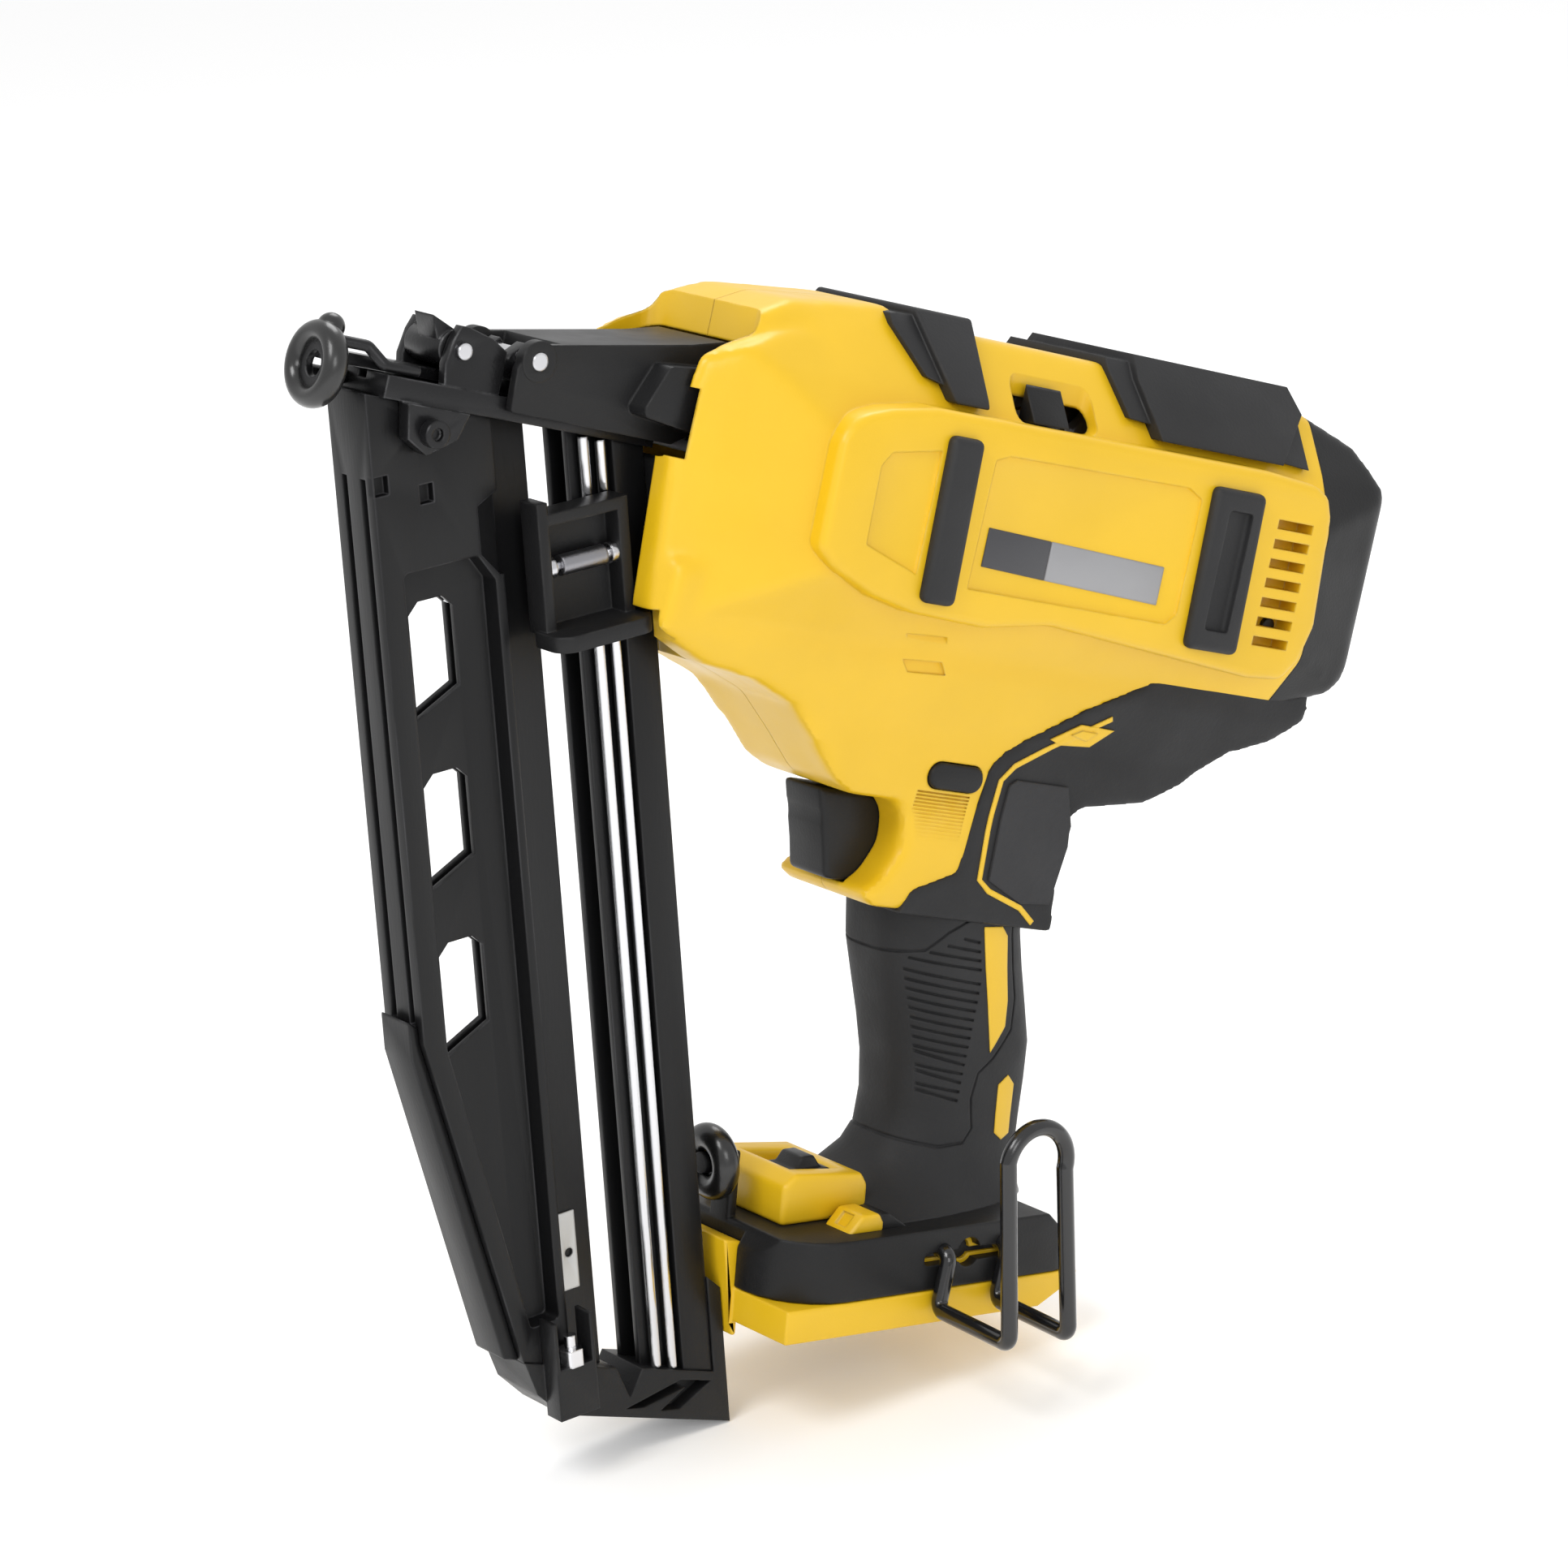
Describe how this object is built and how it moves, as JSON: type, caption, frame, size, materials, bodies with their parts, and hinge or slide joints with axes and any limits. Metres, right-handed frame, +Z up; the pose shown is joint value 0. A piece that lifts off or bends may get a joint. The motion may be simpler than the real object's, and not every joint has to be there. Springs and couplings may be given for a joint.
{
  "type": "cordless brad nailer",
  "caption": "Cordless brad nailer with a slanted nail magazine, flywheel drive, soft nose tip, jam-clearing nose door, trigger, belt hook and a foot for a slide-on battery.",
  "frame": {"origin": "centre of the soft nose tip's front face, on the driver's line, where the tool meets the work", "axes": "+X rearwards, away from the work, square to the magazine; +Z up along the magazine; -Y the tool's left side, with the belt hook. The driver's line falls 20 degrees towards the rear"},
  "size_m": [0.3214, 0.1167, 0.3102],
  "materials": {
    "yellow_plastic": "fine moulded grain, satin",
    "black_plastic": "fine moulded grain, satin",
    "overmould": "soft textured overmould, matt",
    "bumper_rubber": "matt rubber",
    "tip_rubber": "glossy moulded rubber",
    "magazine_black": "black anodised extrusion, soft sheen",
    "dark_steel": "black oxide steel, soft sheen",
    "pin_steel": "bright ground steel",
    "polished_rod": "polished",
    "cast_aluminium": "cast, dull",
    "plain_steel": "machined",
    "spring_steel": "drawn wire",
    "winding_copper": "enamelled wire",
    "board_green": "circuit board",
    "lamp_lens": "clear lens",
    "hook_paint": "gloss black",
    "label_metal": "light satin plate"
  },
  "bodies": {
    "tool": {"arm_pin": "pin_steel", "belt_hook": "hook_paint", "cap_screw": "dark_steel", "control_board": "board_green", "door_pin": "pin_steel", "drive_frame": "cast_aluminium", "end_nut": "polished_rod", "foot_base": "yellow_plastic", "foot_cover": "black_plastic", "front_side_bars": "bumper_rubber", "front_top_bumper": "bumper_rubber", "grip_skin": "overmould", "guide_rods": "polished_rod", "housing_left": "yellow_plastic", "housing_right": "yellow_plastic", "housing_screws": "dark_steel", "label_plate": "label_metal", "magazine_box": "magazine_black", "magazine_brace": "magazine_black", "magazine_end": "black_plastic", "magazine_guard": "black_plastic", "magazine_rail": "magazine_black", "motor_bearings": "plain_steel", "motor_brackets": "cast_aluminium", "motor_stator": "winding_copper", "nose_frame": "dark_steel", "rear_cap": "black_plastic", "rear_side_bars": "bumper_rubber", "rear_top_bumper": "bumper_rubber", "return_springs": "spring_steel", "selector_housing": "yellow_plastic", "slide_rods": "polished_rod", "solenoid": "dark_steel", "spare_tip": "tip_rubber", "stop_bumpers": "bumper_rubber", "terminal_block": "black_plastic", "trigger_spring": "spring_steel", "trigger_switch": "black_plastic", "trip_spring": "spring_steel", "under_body": "black_plastic", "work_light": "lamp_lens"},
    "contact_trip": {"contact_trip": "dark_steel", "contact_tip": "tip_rubber"},
    "driver": {"driver_carriage": "cast_aluminium", "driver_blade": "plain_steel"},
    "rotor": {"flywheel": "plain_steel", "motor_shaft": "plain_steel"},
    "pinch_arm": {"pinch_arm": "plain_steel"},
    "pinch_roller": {"pinch_roller": "plain_steel"},
    "nose_door": {"nose_door": "dark_steel", "latch_pin": "pin_steel"},
    "jam_latch": {"jam_latch_lever": "black_plastic"},
    "trigger": {"trigger": "black_plastic"},
    "trigger_lock": {"trigger_lock": "black_plastic"},
    "mode_selector": {"mode_selector": "black_plastic"},
    "stall_lever": {"stall_lever": "black_plastic"},
    "pusher": {"pusher_bracket": "black_plastic", "nail_follower": "pin_steel", "drum_axle": "pin_steel"},
    "pusher_spring": {"spring_drum": "spring_steel"}
  },
  "joints": [
    {"name": "trip_slide", "type": "slide", "parent": "tool", "child": "contact_trip", "axis": [0.9397, 0, -0.342], "range_m": [0, 0.0055], "stiffness_N_per_m": 400, "springref_m": -0.012, "deforming": ["trip_spring"]},
    {"name": "driver_slide", "type": "slide", "parent": "tool", "child": "driver", "axis": [-0.9397, 0, 0.342], "range_m": [0, 0.076], "stiffness_N_per_m": 150, "springref_m": -0.03, "deforming": ["return_springs"]},
    {"name": "flywheel_spin", "type": "hinge", "parent": "tool", "child": "rotor", "pos_m": [0.18429, 0, -0.09304], "axis": [0, 1, 0], "continuous": true},
    {"name": "pinch_arm_pivot", "type": "hinge", "parent": "tool", "child": "pinch_arm", "pos_m": [0.23151, 0, -0.05979], "axis": [0, -1, 0], "range_deg": [0, 1.4], "stiffness_Nm_per_rad": 0.4, "springref_deg": -11.46},
    {"name": "pinch_roller_spin", "type": "hinge", "parent": "pinch_arm", "child": "pinch_roller", "pos_m": [0.19784, 0, -0.05583], "axis": [0, 1, 0], "continuous": true},
    {"name": "nose_door_hinge", "type": "hinge", "parent": "tool", "child": "nose_door", "pos_m": [0.03718, 0, -0.0031], "axis": [0, -1, 0], "range_deg": [0, 65]},
    {"name": "jam_latch_pivot", "type": "hinge", "parent": "nose_door", "child": "jam_latch", "pos_m": [0.05635, 0, -0.00891], "axis": [0, -1, 0], "range_deg": [0, 70]},
    {"name": "trigger_slide", "type": "slide", "parent": "tool", "child": "trigger", "axis": [0.9397, 0, -0.342], "range_m": [0, 0.006], "stiffness_N_per_m": 400, "springref_m": -0.006, "deforming": ["trigger_spring"]},
    {"name": "trigger_lock_slide", "type": "slide", "parent": "tool", "child": "trigger_lock", "axis": [0, 1, 0], "range_m": [0, 0.004]},
    {"name": "mode_selector_slide", "type": "slide", "parent": "tool", "child": "mode_selector", "axis": [0, 1, 0], "range_m": [0, 0.007]},
    {"name": "stall_lever_slide", "type": "slide", "parent": "tool", "child": "stall_lever", "axis": [0.9397, 0, -0.342], "range_m": [0, 0.005], "stiffness_N_per_m": 60, "springref_m": -0.004},
    {"name": "pusher_slide", "type": "slide", "parent": "tool", "child": "pusher", "axis": [0, 0, -1], "range_m": [0, 0.172], "stiffness_N_per_m": 10, "springref_m": -0.6},
    {"name": "pusher_spring_roll", "type": "hinge", "parent": "pusher", "child": "pusher_spring", "pos_m": [0.0645, -0.0131, -0.06], "axis": [1, 0, 0], "range_deg": [0, 3800]}
  ],
  "couplings": [
    {"joint": "pusher_spring_roll", "follows": "pusher_slide", "rad_per_m": 384.62}
  ]
}
